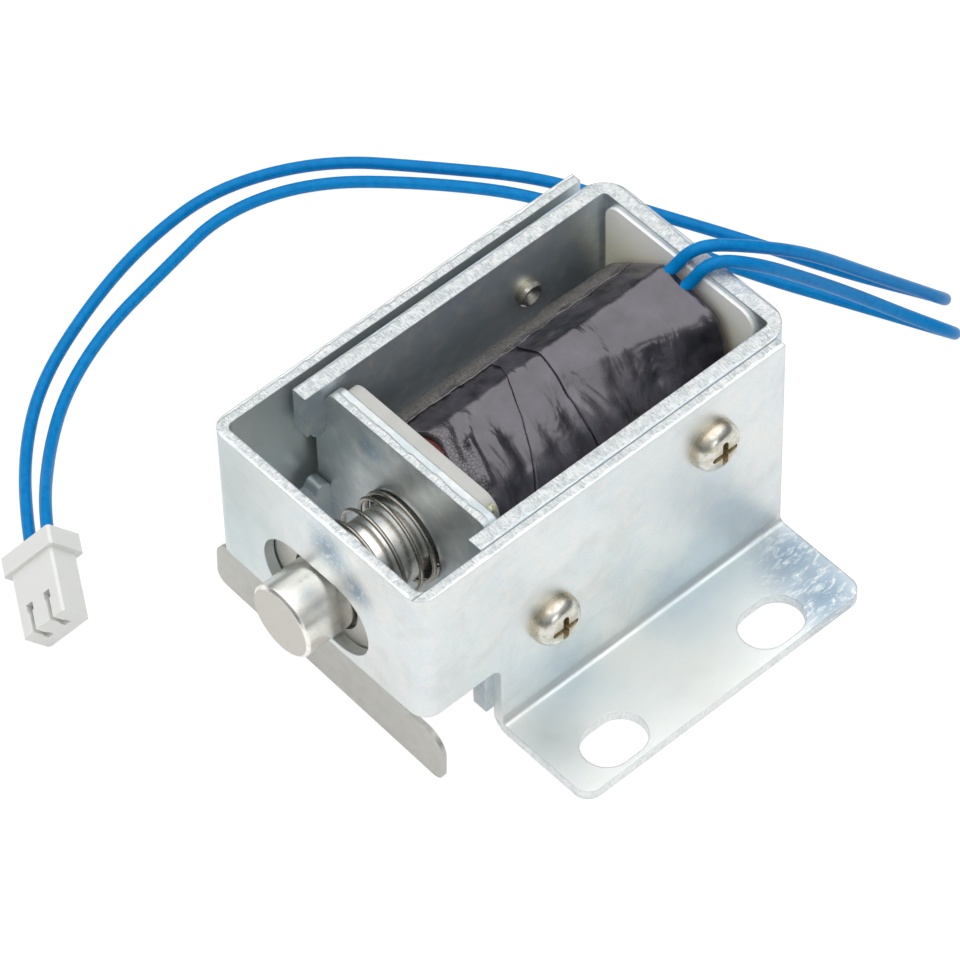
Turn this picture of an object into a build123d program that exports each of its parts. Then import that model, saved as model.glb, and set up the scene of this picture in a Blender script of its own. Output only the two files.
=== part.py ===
from build123d import *
import math
import os

# A small open-frame pull solenoid with a latch bolt, in millimetres.
# The model is laid out from the bracket's front left corner: X to the right, towards the mounting flange,
# Y from the front wall to the back, Z up, with the flange's underside at zero.
# It is written out with its origin at the centre of the two mounting slots.

# Outer bracket, one bent sheet
bracket_width = 30.0
bracket_sheet = 1.2
bracket_top = 27.75
bracket_depth = 46.75
front_corner_radius = 2.0
front_wall_bottom = 10.1
step_back = 9.8
step_fillet = 1.4
left_wall_bottom = 2.9
flange_reach = 11.95
flange_bend_radius = 1.9
flange_corner_radius = 1.8

# Mounting slots in the flange, running front to back
slot_width = 5.4
slot_length = 7.2
slot_from_wall = 8.6
front_slot_y = 16.4
slot_spacing = 20.9

# Axis of the plunger, coil and core, a little left of the bracket's middle
axis_off_middle = 0.2
axis_z = 15.3

# Slot in the front wall, round the bolt
bolt_slot_length = 15.0
bolt_slot_height = 9.0

# Inner frame, a thicker U that carries the magnetic path
frame_sheet = 1.8
frame_left_gap = 0.9
frame_front = 8.8
frame_back = 49.3
frame_bottom = 2.9
frame_corner_radius = 3.2
frame_bend_inside = 0.5

# Pole plate across the mouth of the frame, held by its ears
pole_plate_front = 11.3
pole_plate_sheet = 1.6
pole_plate_drop = 0.65
pole_plate_corner = 1.5
pole_hole_radius = 5.0
ear_bottom = 12.7
ear_top = 22.2
crimp_radius = 0.95

# Bobbin
bobbin_front_flange = 1.4
bobbin_rear_flange = 0.4
bobbin_side_gap = 0.5
bobbin_inset = 0.075
bobbin_corner = 2.0
bobbin_wall = 1.0

# Drop of set glue on the rounded end of the bobbin's front flange
glue_radius = 0.68
glue_sink = 0.3
glue_angle = 33.0

# Guide tube, plunger and core
plunger_radius = 4.05
plunger_reach = 4.5
plunger_edge = 0.3
plunger_clearance = 0.06
tube_wall = 0.4
stroke = 5.0
core_gap = 0.3
core_length = 16.5
core_rivet_radius = 3.0
core_rivet_head_radius = 3.5
core_rivet_head = 0.4

# Coil and the tape round it
winding_inset = 2.5
tape_thickness = 1.7
tape_set_back = 0.9
tape_rear_gap = 1.25
ridge_front_radius = 1.6
ridge_front_left = 1.2
ridge_front_rise = 0.4
ridge_rear_half_width = 5.6
ridge_rear_half_depth = 4.4
ridge_rear_right = 2.9
ridge_rear_drop = 1.1
ridge_rear_lean = -35.0
flap_thickness = 0.35
flap_front = 19.0
flap_length = 23.0
flap_start_angle = 108.0
flap_sweep_angle = 52.0

# Release plate, a thin stamping that hangs on the bolt behind the front wall
plate_sheet = 0.5
plate_wall_gap = 0.15
plate_hole_clearance = 0.4
plate_stem_width = 19.0
plate_stem_top = 6.6
plate_stem_corner = 3.0
plate_bar_width = 33.0
plate_bar_top = -7.9
plate_bar_bottom = -14.4
plate_bar_top_corner = 2.6
plate_bar_bottom_corner = 1.4
plate_inner_fillet = 1.5
plate_rest_tilt = 2.0

# Retaining clip in the bolt's groove
clip_sheet = 0.5
clip_gap = 0.1
clip_outer_radius = 5.7
groove_depth = 0.6
groove_clearance = 0.05
clip_mouth = 5.6

# Return spring, closed at both ends
spring_radius = 5.0
spring_wire = 0.45
spring_open_turns = 3.5
spring_closed_turns = 1.25
spring_points_per_turn = 12

# Screws that hold the inner frame in the bracket
screw_radius = 1.5
screw_hole_clearance = 0.15
screw_head_radius = 2.8
screw_head_height = 2.0
screw_proud = 0.9
screw_recess = 1.2
screw_tip_rim = 0.4
screw_tip_hollow = 0.7
front_screw_y = 16.4
front_screw_z = 12.3
rear_screw_y = 37.1
rear_screw_z = 21.2

# Two leads, their splices under the tape and the plug on their end
lead_radius = 0.65
splice_radius = 0.8
splice_length = 9.0
splice_gap = 0.05
splice_rear = 42.6
lead_a_left = 0.4
lead_b_right = 2.1

# Plug housing, lying on its edge
plug_centre = (-10.8, -12.85, 4.05)
plug_yaw = -30.2
plug_nose_down = 7.6
plug_roll = 46.0
plug_length = 9.4
plug_width = 6.0
plug_thickness = 3.5
plug_ear_length = 2.1
plug_ear_width = 7.2
plug_ear_thickness = 4.4
plug_edge = 0.25
plug_pitch = 2.5
plug_cavity_width = 1.7
plug_cavity_height = 1.9
plug_cavity_end = 1.0
plug_pin_hole = 0.8
plug_slot_width = 0.5
plug_slot_length = 2.7
plug_window = 0.9
terminal_clearance = 0.1
terminal_length = 5.0
terminal_sheet = 0.25
lead_in_plug = 2.6

# Worked out from the values above
inner_right = bracket_width - bracket_sheet
frame_left = bracket_sheet + frame_left_gap
frame_inner_left = frame_left + frame_sheet
frame_inner_right = inner_right - frame_sheet
frame_inner_back = frame_back - frame_sheet
frame_mid_z = (frame_bottom + bracket_top) / 2
axis_x = bracket_width / 2 - axis_off_middle
pole_plate_back = pole_plate_front + pole_plate_sheet
pole_plate_height = 2 * (bracket_top - pole_plate_drop - frame_mid_z)
bobbin_width = 2 * (axis_x - frame_inner_left - bobbin_side_gap)
bobbin_height = pole_plate_height - 2 * bobbin_inset
winding_radius = bobbin_width / 2 - winding_inset
bobbin_front = pole_plate_back
bobbin_front_inside = bobbin_front + bobbin_front_flange
bobbin_rear_inside = frame_inner_back - bobbin_rear_flange
tube_radius = plunger_radius + plunger_clearance
tube_outer_radius = tube_radius + tube_wall
barrel_radius = tube_outer_radius + bobbin_wall
tape_radius = winding_radius + tape_thickness
tape_front = bobbin_front_inside + tape_set_back
tape_back = bobbin_rear_inside - tape_rear_gap
core_front = frame_inner_back - core_length
plunger_end = core_front - stroke - core_gap
plate_front = bracket_sheet + plate_wall_gap
clip_front = plate_front + plate_sheet + clip_gap
clip_back = clip_front + clip_sheet
groove_radius = plunger_radius - groove_depth
slot_x = bracket_width + slot_from_wall
slot_mid_y = front_slot_y + slot_spacing / 2
lead_a_x = axis_x - lead_a_left
lead_b_x = axis_x + lead_b_right

# A round piece that stands on its foot at the middle of a plane
on_its_foot = (Align.CENTER, Align.CENTER, Align.MIN)


def facing_front(x, y, z):
    """A plane across the axis: its X runs right and its normal points to the front."""
    return Plane(origin=(x, y, z), x_dir=(1, 0, 0), z_dir=(0, -1, 0))


def rod(radius, y_start, y_end, x=axis_x, z=axis_z):
    """A round bar along Y."""
    with BuildPart() as bar:
        with BuildSketch(facing_front(x, y_start, z)):
            Circle(radius)
        extrude(amount=-(y_end - y_start))
    return bar.part


def block(x_start, x_end, y_start, y_end, z_start, z_end):
    """A plain box between two corners, used as a cutting tool."""
    size = (x_end - x_start, y_end - y_start, z_end - z_start)
    return Pos(x_start, y_start, z_start) * Box(*size, align=(Align.MIN, Align.MIN, Align.MIN))


def screw_places():
    """Each screw's height and distance back, front pair first."""
    return [(front_screw_y, front_screw_z), (rear_screw_y, rear_screw_z)]


def cross_bores(radius, x_start, x_end):
    """Bars along X at the screws, to cut their holes."""
    bores = []
    for y, z in screw_places():
        plane = Plane(origin=(x_start, y, z), z_dir=(1, 0, 0))
        bores.append(plane * Cylinder(radius, x_end - x_start, align=on_its_foot))
    return bores


def outer_bracket():
    """Front wall, two side walls and a flange, bent from one sheet."""
    with BuildPart() as walls:
        with BuildSketch(Plane.XY.offset(left_wall_bottom)):
            with Locations((bracket_width / 2, bracket_depth / 2)):
                Rectangle(bracket_width, bracket_depth)
            corners = [v for v in vertices() if v.Y < 1]
            fillet(corners, front_corner_radius)
        extrude(amount=bracket_top - left_wall_bottom)
        with BuildSketch(Plane.XY.offset(left_wall_bottom)):
            inside = bracket_width - 2 * bracket_sheet
            with Locations((bracket_width / 2, bracket_sheet + bracket_depth / 2)):
                Rectangle(inside, bracket_depth)
            corners = [v for v in vertices() if v.Y < bracket_depth / 2]
            fillet(corners, front_corner_radius - bracket_sheet)
        extrude(amount=bracket_top - left_wall_bottom, mode=Mode.SUBTRACT)
    body = walls.part - block(-1, bracket_width + 1, -1, step_back, 0, front_wall_bottom)
    body += flange()
    step_edges = [
        e for e in body.edges().filter_by(Axis.X)
        if abs(e.center().Y - step_back) < 0.01 and abs(e.center().Z - front_wall_bottom) < 0.01
    ]
    body = fillet(step_edges, step_fillet)
    with BuildSketch(facing_front(axis_x, -1, axis_z)) as opening:
        SlotOverall(bolt_slot_length, bolt_slot_height)
    body -= extrude(opening.sketch, amount=-(bracket_sheet + 2))
    for bore in cross_bores(screw_radius + screw_hole_clearance, -1, bracket_sheet + 1):
        body -= bore
    for bore in cross_bores(screw_radius + screw_hole_clearance, inner_right - 1, bracket_width + 1):
        body -= bore
    return body


def flange():
    """The right wall's lower part and the flange bent out of it, with two slots."""
    length = bracket_depth - step_back
    bend_inside = flange_bend_radius - bracket_sheet
    with BuildPart() as part:
        with BuildSketch(Plane(origin=(0, step_back, 0), x_dir=(1, 0, 0), z_dir=(0, -1, 0))):
            with BuildLine():
                Polyline(
                    (inner_right, front_wall_bottom + 4),
                    (inner_right, 0),
                    (bracket_width + flange_reach, 0),
                    (bracket_width + flange_reach, bracket_sheet),
                    (bracket_width, bracket_sheet),
                    (bracket_width, front_wall_bottom + 4),
                    close=True,
                )
            make_face()
            fillet([v for v in vertices() if v.Y < 0.01 and v.X < bracket_width], flange_bend_radius)
            fillet(
                [v for v in vertices() if abs(v.Y - bracket_sheet) < 0.01 and v.X < bracket_width + 1],
                bend_inside,
            )
        extrude(amount=-length)
        outer_corners = part.edges().filter_by(Axis.Z).group_by(Axis.X)[-1]
        fillet(outer_corners, flange_corner_radius)
        with BuildSketch(Plane.XY):
            with Locations((slot_x, front_slot_y), (slot_x, front_slot_y + slot_spacing)):
                SlotOverall(slot_length, slot_width, rotation=90)
        extrude(amount=bracket_sheet, mode=Mode.SUBTRACT)
    return part.part


def inner_frame():
    """The U-shaped frame: its mouth is notched for the pole plate's ears and crimped over them."""
    width = inner_right - frame_left
    length = frame_back - frame_front
    height = bracket_top - frame_bottom
    mid_x = (frame_left + inner_right) / 2
    with BuildPart() as part:
        with BuildSketch(Plane.XY.offset(frame_bottom)):
            with Locations((mid_x, frame_front + length / 2)):
                Rectangle(width, length)
            fillet([v for v in vertices() if v.Y > frame_front + 1], frame_corner_radius)
        extrude(amount=height)
        with BuildSketch(Plane.XY.offset(frame_bottom)):
            with Locations((mid_x, frame_front + length / 2 - frame_sheet)):
                Rectangle(width - 2 * frame_sheet, length)
            fillet([v for v in vertices() if v.Y > frame_front + 1], frame_bend_inside)
        extrude(amount=height, mode=Mode.SUBTRACT)
    frame = part.part
    frame -= block(frame_left - 1, inner_right + 1, frame_front - 1, pole_plate_back, ear_bottom, ear_top)
    frame -= rod(core_rivet_radius, frame_inner_back - 1, frame_back + 1)
    for wall_x in (frame_left, frame_inner_right):
        for crimp_z in (ear_bottom, ear_top):
            plane = Plane(origin=(wall_x, pole_plate_front - crimp_radius, crimp_z), z_dir=(1, 0, 0))
            lump = Cylinder(crimp_radius, frame_sheet, align=on_its_foot)
            frame += plane * lump
    for bore in cross_bores(screw_radius, frame_left - 1, frame_inner_left + 1):
        frame -= bore
    for bore in cross_bores(screw_radius, frame_inner_right - 1, inner_right + 1):
        frame -= bore
    return frame


def pole_plate():
    """The plate across the frame's mouth, with an ear in each side wall."""
    mid_x = (frame_inner_left + frame_inner_right) / 2
    with BuildPart() as part:
        with BuildSketch(facing_front(mid_x, pole_plate_front, frame_mid_z)):
            RectangleRounded(frame_inner_right - frame_inner_left, pole_plate_height, pole_plate_corner)
            ear_mid = (ear_bottom + ear_top) / 2 - frame_mid_z
            with Locations((0, ear_mid)):
                Rectangle(inner_right - frame_left, ear_top - ear_bottom)
        extrude(amount=-pole_plate_sheet)
    return part.part - rod(pole_hole_radius, pole_plate_front - 1, pole_plate_back + 1)


def bobbin():
    """A barrel with a rounded square flange at each end."""
    spans = [
        (bobbin_front, bobbin_front_inside),
        (bobbin_rear_inside, frame_inner_back),
    ]
    body = rod(barrel_radius, bobbin_front, frame_inner_back)
    for start, end in spans:
        with BuildPart() as part:
            with BuildSketch(facing_front(axis_x, start, frame_mid_z)):
                RectangleRounded(bobbin_width, bobbin_height, bobbin_corner)
            extrude(amount=-(end - start))
        body += part.part
    return body - rod(tube_outer_radius, bobbin_front - 1, frame_inner_back + 1)


def glue_drop():
    """A small drop of set glue that stands on the rounded end of the front flange."""
    angle = math.radians(glue_angle)
    out = bobbin_corner - glue_sink
    x = axis_x + bobbin_width / 2 - bobbin_corner + out * math.cos(angle)
    y = bobbin_front + bobbin_front_flange / 2
    z = frame_mid_z + bobbin_height / 2 - bobbin_corner + out * math.sin(angle)
    return Pos(x, y, z) * Sphere(glue_radius) - bobbin()


def guide_tube():
    """The thin tube that the plunger runs in."""
    outside = rod(tube_outer_radius, bobbin_front, frame_inner_back)
    return outside - rod(tube_radius, bobbin_front - 1, frame_inner_back + 1)


def winding():
    """The copper coil between the flanges."""
    outside = rod(winding_radius, bobbin_front_inside, bobbin_rear_inside)
    return outside - rod(barrel_radius, bobbin_front_inside - 1, bobbin_rear_inside + 1)


def splice_bar(x):
    """One lead's splice to the coil, laid along the winding under the tape."""
    start = splice_rear - splice_length
    height = winding_radius + splice_gap + splice_radius
    return rod(splice_radius, start, splice_rear, x, axis_z + height)


def coil_tape():
    """Tape wrapped round the coil, with the ridge that the splices and leads raise in it."""
    front_height = winding_radius + ridge_front_rise
    rear_height = winding_radius - ridge_rear_drop
    with BuildPart() as ridge:
        front = facing_front(axis_x - ridge_front_left, tape_front + tape_thickness, axis_z + front_height)
        rear = facing_front(axis_x + ridge_rear_right, tape_back, axis_z + rear_height)
        with BuildSketch(front):
            Circle(ridge_front_radius)
        with BuildSketch(rear):
            Ellipse(ridge_rear_half_width, ridge_rear_half_depth, rotation=ridge_rear_lean)
        loft()
    wrap = rod(tape_radius, tape_front, tape_back) + ridge.part
    wrap -= rod(winding_radius, tape_front - 1, tape_back + 1)
    for x in (lead_a_x, lead_b_x):
        wrap -= splice_bar(x)
    return wrap


def tape_flap():
    """The loose last turn of tape, lying against the wrap's left side."""
    outer = tape_radius + flap_thickness
    with BuildPart() as part:
        with BuildSketch(facing_front(axis_x, flap_front, axis_z)):
            with BuildLine():
                first = CenterArc((0, 0), outer, flap_start_angle, flap_sweep_angle)
                second = CenterArc((0, 0), tape_radius, flap_start_angle, flap_sweep_angle)
                Line(first @ 0, second @ 0)
                Line(first @ 1, second @ 1)
            make_face()
        extrude(amount=-flap_length)
    return part.part


def fixed_core():
    """The iron core, riveted through the frame's back wall."""
    core = rod(tube_radius, core_front, frame_inner_back)
    core += rod(core_rivet_radius, frame_inner_back, frame_back)
    return core + rod(core_rivet_head_radius, frame_back, frame_back + core_rivet_head)


def plunger():
    """The bolt: a plain bar with a groove for the clip behind the release plate."""
    bar = rod(plunger_radius, -plunger_reach, plunger_end)
    ends = bar.edges().filter_by(GeomType.CIRCLE)
    bar = chamfer(ends, plunger_edge)
    groove = rod(plunger_radius + 1, clip_front - groove_clearance, clip_back + groove_clearance)
    return bar - (groove - rod(groove_radius, clip_front - 1, clip_back + 1))


def retaining_clip():
    """An open ring that snaps into the bolt's groove from above."""
    ring = rod(clip_outer_radius, clip_front, clip_back)
    ring -= rod(groove_radius, clip_front - 1, clip_back + 1)
    half = clip_mouth / 2
    above = axis_z + clip_outer_radius + 1
    mouth = block(axis_x - half, axis_x + half, clip_front - 1, clip_back + 1, axis_z, above)
    return ring - mouth


def release_plate():
    """A stem with a round hole and a wide bar below it, hanging a little off level at rest."""
    stem_height = plate_stem_top - plate_bar_bottom
    bar_height = plate_bar_top - plate_bar_bottom
    with BuildPart() as part:
        with BuildSketch(facing_front(0, plate_front, 0)):
            with Locations((0, (plate_stem_top + plate_bar_bottom) / 2)):
                Rectangle(plate_stem_width, stem_height)
            fillet(vertices().group_by(Axis.Y)[-1], plate_stem_corner)
            with Locations((0, (plate_bar_top + plate_bar_bottom) / 2)):
                Rectangle(plate_bar_width, bar_height)
            ends = [v for v in vertices() if abs(v.X) > plate_bar_width / 2 - 0.01]
            fillet([v for v in ends if v.Y > plate_bar_top - 0.01], plate_bar_top_corner)
            ends = [v for v in vertices() if abs(v.X) > plate_bar_width / 2 - 0.01]
            fillet([v for v in ends if v.Y < plate_bar_bottom + 0.01], plate_bar_bottom_corner)
            Circle(plunger_radius + plate_hole_clearance, mode=Mode.SUBTRACT)
        extrude(amount=-plate_sheet)
    half = plate_stem_width / 2
    inner = [
        e for e in part.part.edges().filter_by(Axis.Y)
        if abs(abs(e.center().X) - half) < 0.01 and abs(e.center().Z - plate_bar_top) < 0.01
    ]
    plate = fillet(inner, plate_inner_fillet)
    return Pos(axis_x, 0, axis_z) * Rot(0, plate_rest_tilt, 0) * plate


def spring_place(turn, turns, span):
    """Distance along the spring at a turn: slow in the closed ends and steady between them."""
    closed = spring_closed_turns * spring_wire
    rise = (span - 2 * closed) / spring_open_turns
    if turn < spring_closed_turns:
        return turn * spring_wire
    if turn > turns - spring_closed_turns:
        return span - (turns - turn) * spring_wire
    return closed + (turn - spring_closed_turns) * rise


def return_spring():
    """A compression spring from the clip to the pole plate."""
    start = clip_back + spring_wire / 2
    span = pole_plate_front - clip_back - spring_wire
    turns = spring_open_turns + 2 * spring_closed_turns
    steps = round(turns * spring_points_per_turn)
    points = []
    for i in range(steps + 1):
        turn = turns * i / steps
        angle = 2 * math.pi * turn
        across = axis_x + spring_radius * math.cos(angle)
        up = axis_z + spring_radius * math.sin(angle)
        points.append((across, start + spring_place(turn, turns, span), up))
    with BuildPart() as part:
        with BuildLine() as line:
            Spline(*points)
        with BuildSketch(Plane(origin=line.line @ 0, z_dir=line.line % 0)):
            Circle(spring_wire / 2)
        sweep(is_frenet=True)
    return part.part


def bracket_screw():
    """A pan-head screw along Z: its head stands below zero and its shank goes up."""
    with BuildPart() as part:
        with BuildSketch(Plane.XZ):
            with BuildLine():
                Polyline(
                    (0, -screw_head_height), (screw_head_radius * 0.45, -screw_head_height),
                )
                Spline(
                    (screw_head_radius * 0.45, -screw_head_height),
                    (screw_head_radius * 0.86, -screw_head_height * 0.72),
                    (screw_head_radius, -screw_head_height * 0.25),
                )
                Polyline(
                    (screw_head_radius, -screw_head_height * 0.25), (screw_head_radius, 0), (0, 0),
                    (0, -screw_head_height),
                )
            make_face()
        revolve(axis=Axis.Z)
        with BuildSketch(Plane.XY.offset(-screw_head_height)):
            for angle in (0, 90):
                SlotOverall(screw_head_radius * 1.15, screw_head_radius * 0.26, rotation=angle)
        extrude(amount=screw_recess, taper=12, mode=Mode.SUBTRACT)
    return part.part


def bracket_screws():
    """Four screws, two through each side wall into the frame, in one node."""
    screws = []
    for y, z in screw_places():
        for wall_x, direction, end in ((0, 1, frame_inner_left), (bracket_width, -1, frame_inner_right)):
            plane = Plane(origin=(wall_x, y, z), z_dir=(direction, 0, 0))
            length = abs(end - wall_x) + screw_proud
            shank = Cylinder(screw_radius, length, align=on_its_foot)
            shank = chamfer(shank.edges().group_by(Axis.Z)[-1], screw_proud / 3)
            tip = Pos(0, 0, length - screw_tip_hollow)
            mouth = screw_radius - screw_tip_rim
            shank -= tip * Cone(mouth / 3, mouth, screw_tip_hollow, align=on_its_foot)
            screws.append(plane * (bracket_screw() + shank))
    return Compound(children=screws)


def lead_splices():
    """The two splices, seen only as the ridge in the tape."""
    return Compound(children=[splice_bar(lead_a_x), splice_bar(lead_b_x)])


def plug_frame():
    """The plug's own axes: X towards its mating end, Y across its two wires."""
    return Pos(*plug_centre) * Rot(0, 0, plug_yaw) * Rot(0, plug_nose_down, 0) * Rot(plug_roll, 0, 0)


def plug_housing():
    """The moulded two-way housing, with a lip at its wire end, slots on its face and pin holes."""
    ear_x = -plug_length / 2 + plug_ear_length / 2
    body = Box(plug_length, plug_width, plug_thickness)
    body += Pos(ear_x, 0, 0) * Box(plug_ear_length, plug_ear_width, plug_ear_thickness)
    body = chamfer(body.edges().filter_by(Axis.X), plug_edge)
    cavity_length = plug_length - plug_cavity_end
    for side in (-1, 1):
        y = side * plug_pitch / 2
        cavity = Box(cavity_length, plug_cavity_width, plug_cavity_height)
        body -= Pos(-plug_cavity_end / 2, y, 0) * cavity
        body -= Pos(0, y, 0) * Box(plug_length + 1, plug_pin_hole, plug_pin_hole)
        slot = Box(plug_slot_length, plug_slot_width, plug_thickness / 2)
        body -= Pos((plug_length - plug_slot_length) / 2, y, plug_thickness / 4) * slot
        window = Box(plug_window, plug_window, plug_thickness / 2)
        body -= Pos(plug_length / 2 - plug_slot_length, y, plug_thickness / 4) * window
    return plug_frame() * body


def plug_terminals():
    """Two folded contacts in the housing, each open towards the pin hole."""
    width = plug_cavity_width - 2 * terminal_clearance
    height = plug_cavity_height - 2 * terminal_clearance
    start = -plug_length / 2 + lead_in_plug
    contacts = []
    for side in (-1, 1):
        box = Box(terminal_length, width, height)
        hollow = Box(terminal_length, width - 2 * terminal_sheet, height - 2 * terminal_sheet)
        contact = box - Pos(terminal_sheet, 0, 0) * hollow
        place = Pos(start + terminal_length / 2, side * plug_pitch / 2, 0)
        contacts.append(plug_frame() * place * contact)
    return Compound(children=contacts)


def lead_route_a():
    """The outer lead's points, from the tape to the plug."""
    return [
        (lead_a_x, 43.3, 24.7), (16.6, 45.9, 31.4), (20.2, 52.6, 31.4), (21.4, 59.0, 24.8),
        (22.3, 65.5, 17.8), (22.6, 71.0, 11.6), (23.1, 76.3, 6.1), (19.7, 79.2, lead_radius),
        (10.6, 74.6, lead_radius), (0.0, 69.6, lead_radius), (-9.8, 64.9, lead_radius),
        (-19.6, 60.7, lead_radius), (-28.5, 53.3, lead_radius), (-37.0, 45.8, lead_radius),
        (-41.8, 35.2, lead_radius), (-41.2, 25.0, lead_radius), (-38.6, 15.5, lead_radius),
        (-34.0, 5.0, lead_radius), (-27.4, -2.6, 1.2),
    ] + plug_entry(-1)


def lead_route_b():
    """The inner lead's points, from the tape to the plug."""
    return [
        (lead_b_x, 43.3, 24.6), (19.2, 45.8, 31.2), (22.8, 52.3, 31.2), (23.6, 57.9, 23.4),
        (24.6, 63.1, 17.1), (26.0, 68.2, 11.3), (27.3, 73.8, 6.1), (23.9, 76.7, lead_radius),
        (14.4, 72.6, lead_radius), (3.6, 67.3, lead_radius), (-8.2, 62.6, lead_radius),
        (-18.8, 58.2, lead_radius), (-27.6, 51.2, lead_radius), (-35.6, 42.9, lead_radius),
        (-38.8, 33.3, lead_radius), (-36.9, 24.0, lead_radius), (-34.9, 14.3, lead_radius),
        (-31.2, 5.9, lead_radius), (-25.2, -1.2, 2.0),
    ] + plug_entry(1)


def plug_entry(side):
    """The last two points of a lead: straight into the plug along its wire hole."""
    place = plug_frame() * Pos(0, side * plug_pitch / 2, 0)
    outside = place * Pos(-plug_length / 2 - lead_in_plug, 0, 0)
    inside = place * Pos(-plug_length / 2 + lead_in_plug, 0, 0)
    return [tuple(outside.position), tuple(inside.position)]


def arc_radii(points):
    """As large an arc at each corner as its two runs allow."""
    radii = []
    for before, here, after in zip(points, points[1:], points[2:]):
        first = Vector(*here) - Vector(*before)
        second = Vector(*after) - Vector(*here)
        turn = math.radians(first.get_angle(second))
        radii.append(0.45 * min(first.length, second.length) / math.tan(turn / 2))
    return radii


def lead(name, points):
    """A round lead along straight runs joined by tangent arcs."""
    radii = arc_radii(points)
    with BuildPart() as part:
        with BuildLine() as line:
            FilletPolyline(*points, radius=radii)
        with BuildSketch(Plane(origin=line.line @ 0, z_dir=line.line % 0)):
            Circle(lead_radius)
        sweep()
    length = sum(e.length for e in line.edges())
    section = math.pi * lead_radius ** 2
    print(name, "radii", [round(r, 1) for r in radii])
    print(name, "length", round(length, 1), "volume share", round(part.part.volume / (section * length), 4))
    return part.part


os.makedirs("parts", exist_ok=True)
to_mount = Pos(-slot_x, -slot_mid_y, 0)
pieces = {
    "outer_bracket": outer_bracket(),
    "inner_frame": inner_frame(),
    "pole_plate": pole_plate(),
    "bobbin": bobbin(),
    "glue_drop": glue_drop(),
    "guide_tube": guide_tube(),
    "winding": winding(),
    "coil_tape": coil_tape(),
    "tape_flap": tape_flap(),
    "fixed_core": fixed_core(),
    "plunger": plunger(),
    "retaining_clip": retaining_clip(),
    "release_plate": release_plate(),
    "return_spring": return_spring(),
    "bracket_screws": bracket_screws(),
    "lead_splices": lead_splices(),
    "lead_a": lead("lead_a", lead_route_a()),
    "lead_b": lead("lead_b", lead_route_b()),
    "plug_housing": plug_housing(),
    "plug_terminals": plug_terminals(),
}
for name, shape in pieces.items():
    export_step(to_mount * shape, f"parts/{name}.step")
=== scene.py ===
import bpy
import math
import numpy as np
from mathutils import Matrix, Vector, noise


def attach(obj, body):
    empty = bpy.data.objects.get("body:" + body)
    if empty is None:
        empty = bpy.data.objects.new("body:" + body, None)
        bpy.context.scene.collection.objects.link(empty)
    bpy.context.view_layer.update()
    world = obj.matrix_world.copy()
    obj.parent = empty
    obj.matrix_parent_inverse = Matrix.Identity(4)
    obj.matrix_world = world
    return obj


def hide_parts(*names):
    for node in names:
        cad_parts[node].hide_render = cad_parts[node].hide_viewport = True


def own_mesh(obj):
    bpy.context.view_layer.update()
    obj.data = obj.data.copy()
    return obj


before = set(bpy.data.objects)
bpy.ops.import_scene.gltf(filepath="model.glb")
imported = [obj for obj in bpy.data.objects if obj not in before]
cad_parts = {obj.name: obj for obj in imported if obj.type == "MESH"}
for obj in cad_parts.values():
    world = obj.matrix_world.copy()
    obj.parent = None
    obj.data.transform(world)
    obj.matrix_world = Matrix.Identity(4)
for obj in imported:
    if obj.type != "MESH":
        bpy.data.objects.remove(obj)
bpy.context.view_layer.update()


# Sizes in millimetres, from the bracket's front left corner and the flange's underside
slots_x, slots_y = 38.6, 26.85
axis_x, axis_z = 14.8, 15.3
bracket_width, bracket_sheet = 30.0, 1.2
rim_height = 27.75
frame_left, frame_right, frame_back = 2.1, 28.8, 49.3
plate_front, plate_back, plate_rim = 11.3, 12.9, 27.1
screw_head = 2.0
screws = [(16.4, 12.3), (37.1, 21.2)]
lead_radius = 0.65
coil_radius = 9.2
wrap_radius = 9.6
wrap_front, wrap_back = 15.2, 45.85


def at(x, y, z):
    """A point in millimetres from the bracket's front left corner, in the row frame in metres."""
    return Vector(((x - slots_x) / 1000, (y - slots_y) / 1000, z / 1000))


# Shader helpers

def material(name):
    """A new material, its node tree and its principled shader."""
    made = bpy.data.materials.new(name)
    made.use_nodes = True
    tree = made.node_tree
    tree.nodes.clear()
    out = tree.nodes.new("ShaderNodeOutputMaterial")
    shader = tree.nodes.new("ShaderNodeBsdfPrincipled")
    tree.links.new(shader.outputs[0], out.inputs[0])
    return made, tree, shader


def plug_in(tree, socket, value):
    """Sets a socket, or links it where the value is another node's output."""
    if isinstance(value, bpy.types.NodeSocket):
        tree.links.new(value, socket)
    elif hasattr(value, "__len__") and len(value) == 3 and socket.type == "RGBA":
        socket.default_value = (*value, 1)
    else:
        socket.default_value = value


def place(tree, stretch=(1, 1, 1), turn=(0, 0, 0)):
    """The point on the object in millimetres, stretched and turned for a grain."""
    source = tree.nodes.new("ShaderNodeTexCoord")
    scaled = tree.nodes.new("ShaderNodeMapping")
    scaled.inputs["Scale"].default_value = [1000 * s for s in stretch]
    scaled.inputs["Rotation"].default_value = turn
    tree.links.new(source.outputs["Object"], scaled.inputs["Vector"])
    return scaled.outputs[0]


def cloud(tree, vector, size, detail=3.0, rough=0.55, twist=0.0):
    """Noise with features of about the given size in millimetres."""
    node = tree.nodes.new("ShaderNodeTexNoise")
    plug_in(tree, node.inputs["Vector"], vector)
    node.inputs["Scale"].default_value = 1 / size
    node.inputs["Detail"].default_value = detail
    node.inputs["Roughness"].default_value = rough
    node.inputs["Distortion"].default_value = twist
    return node.outputs[0]


def span(tree, value, low, high, new_low=0.0, new_high=1.0, kind="LINEAR"):
    """A value taken from one range to another."""
    node = tree.nodes.new("ShaderNodeMapRange")
    node.interpolation_type = kind
    plug_in(tree, node.inputs[0], value)
    for i, number in enumerate((low, high, new_low, new_high)):
        node.inputs[i + 1].default_value = number
    return node.outputs[0]


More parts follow.
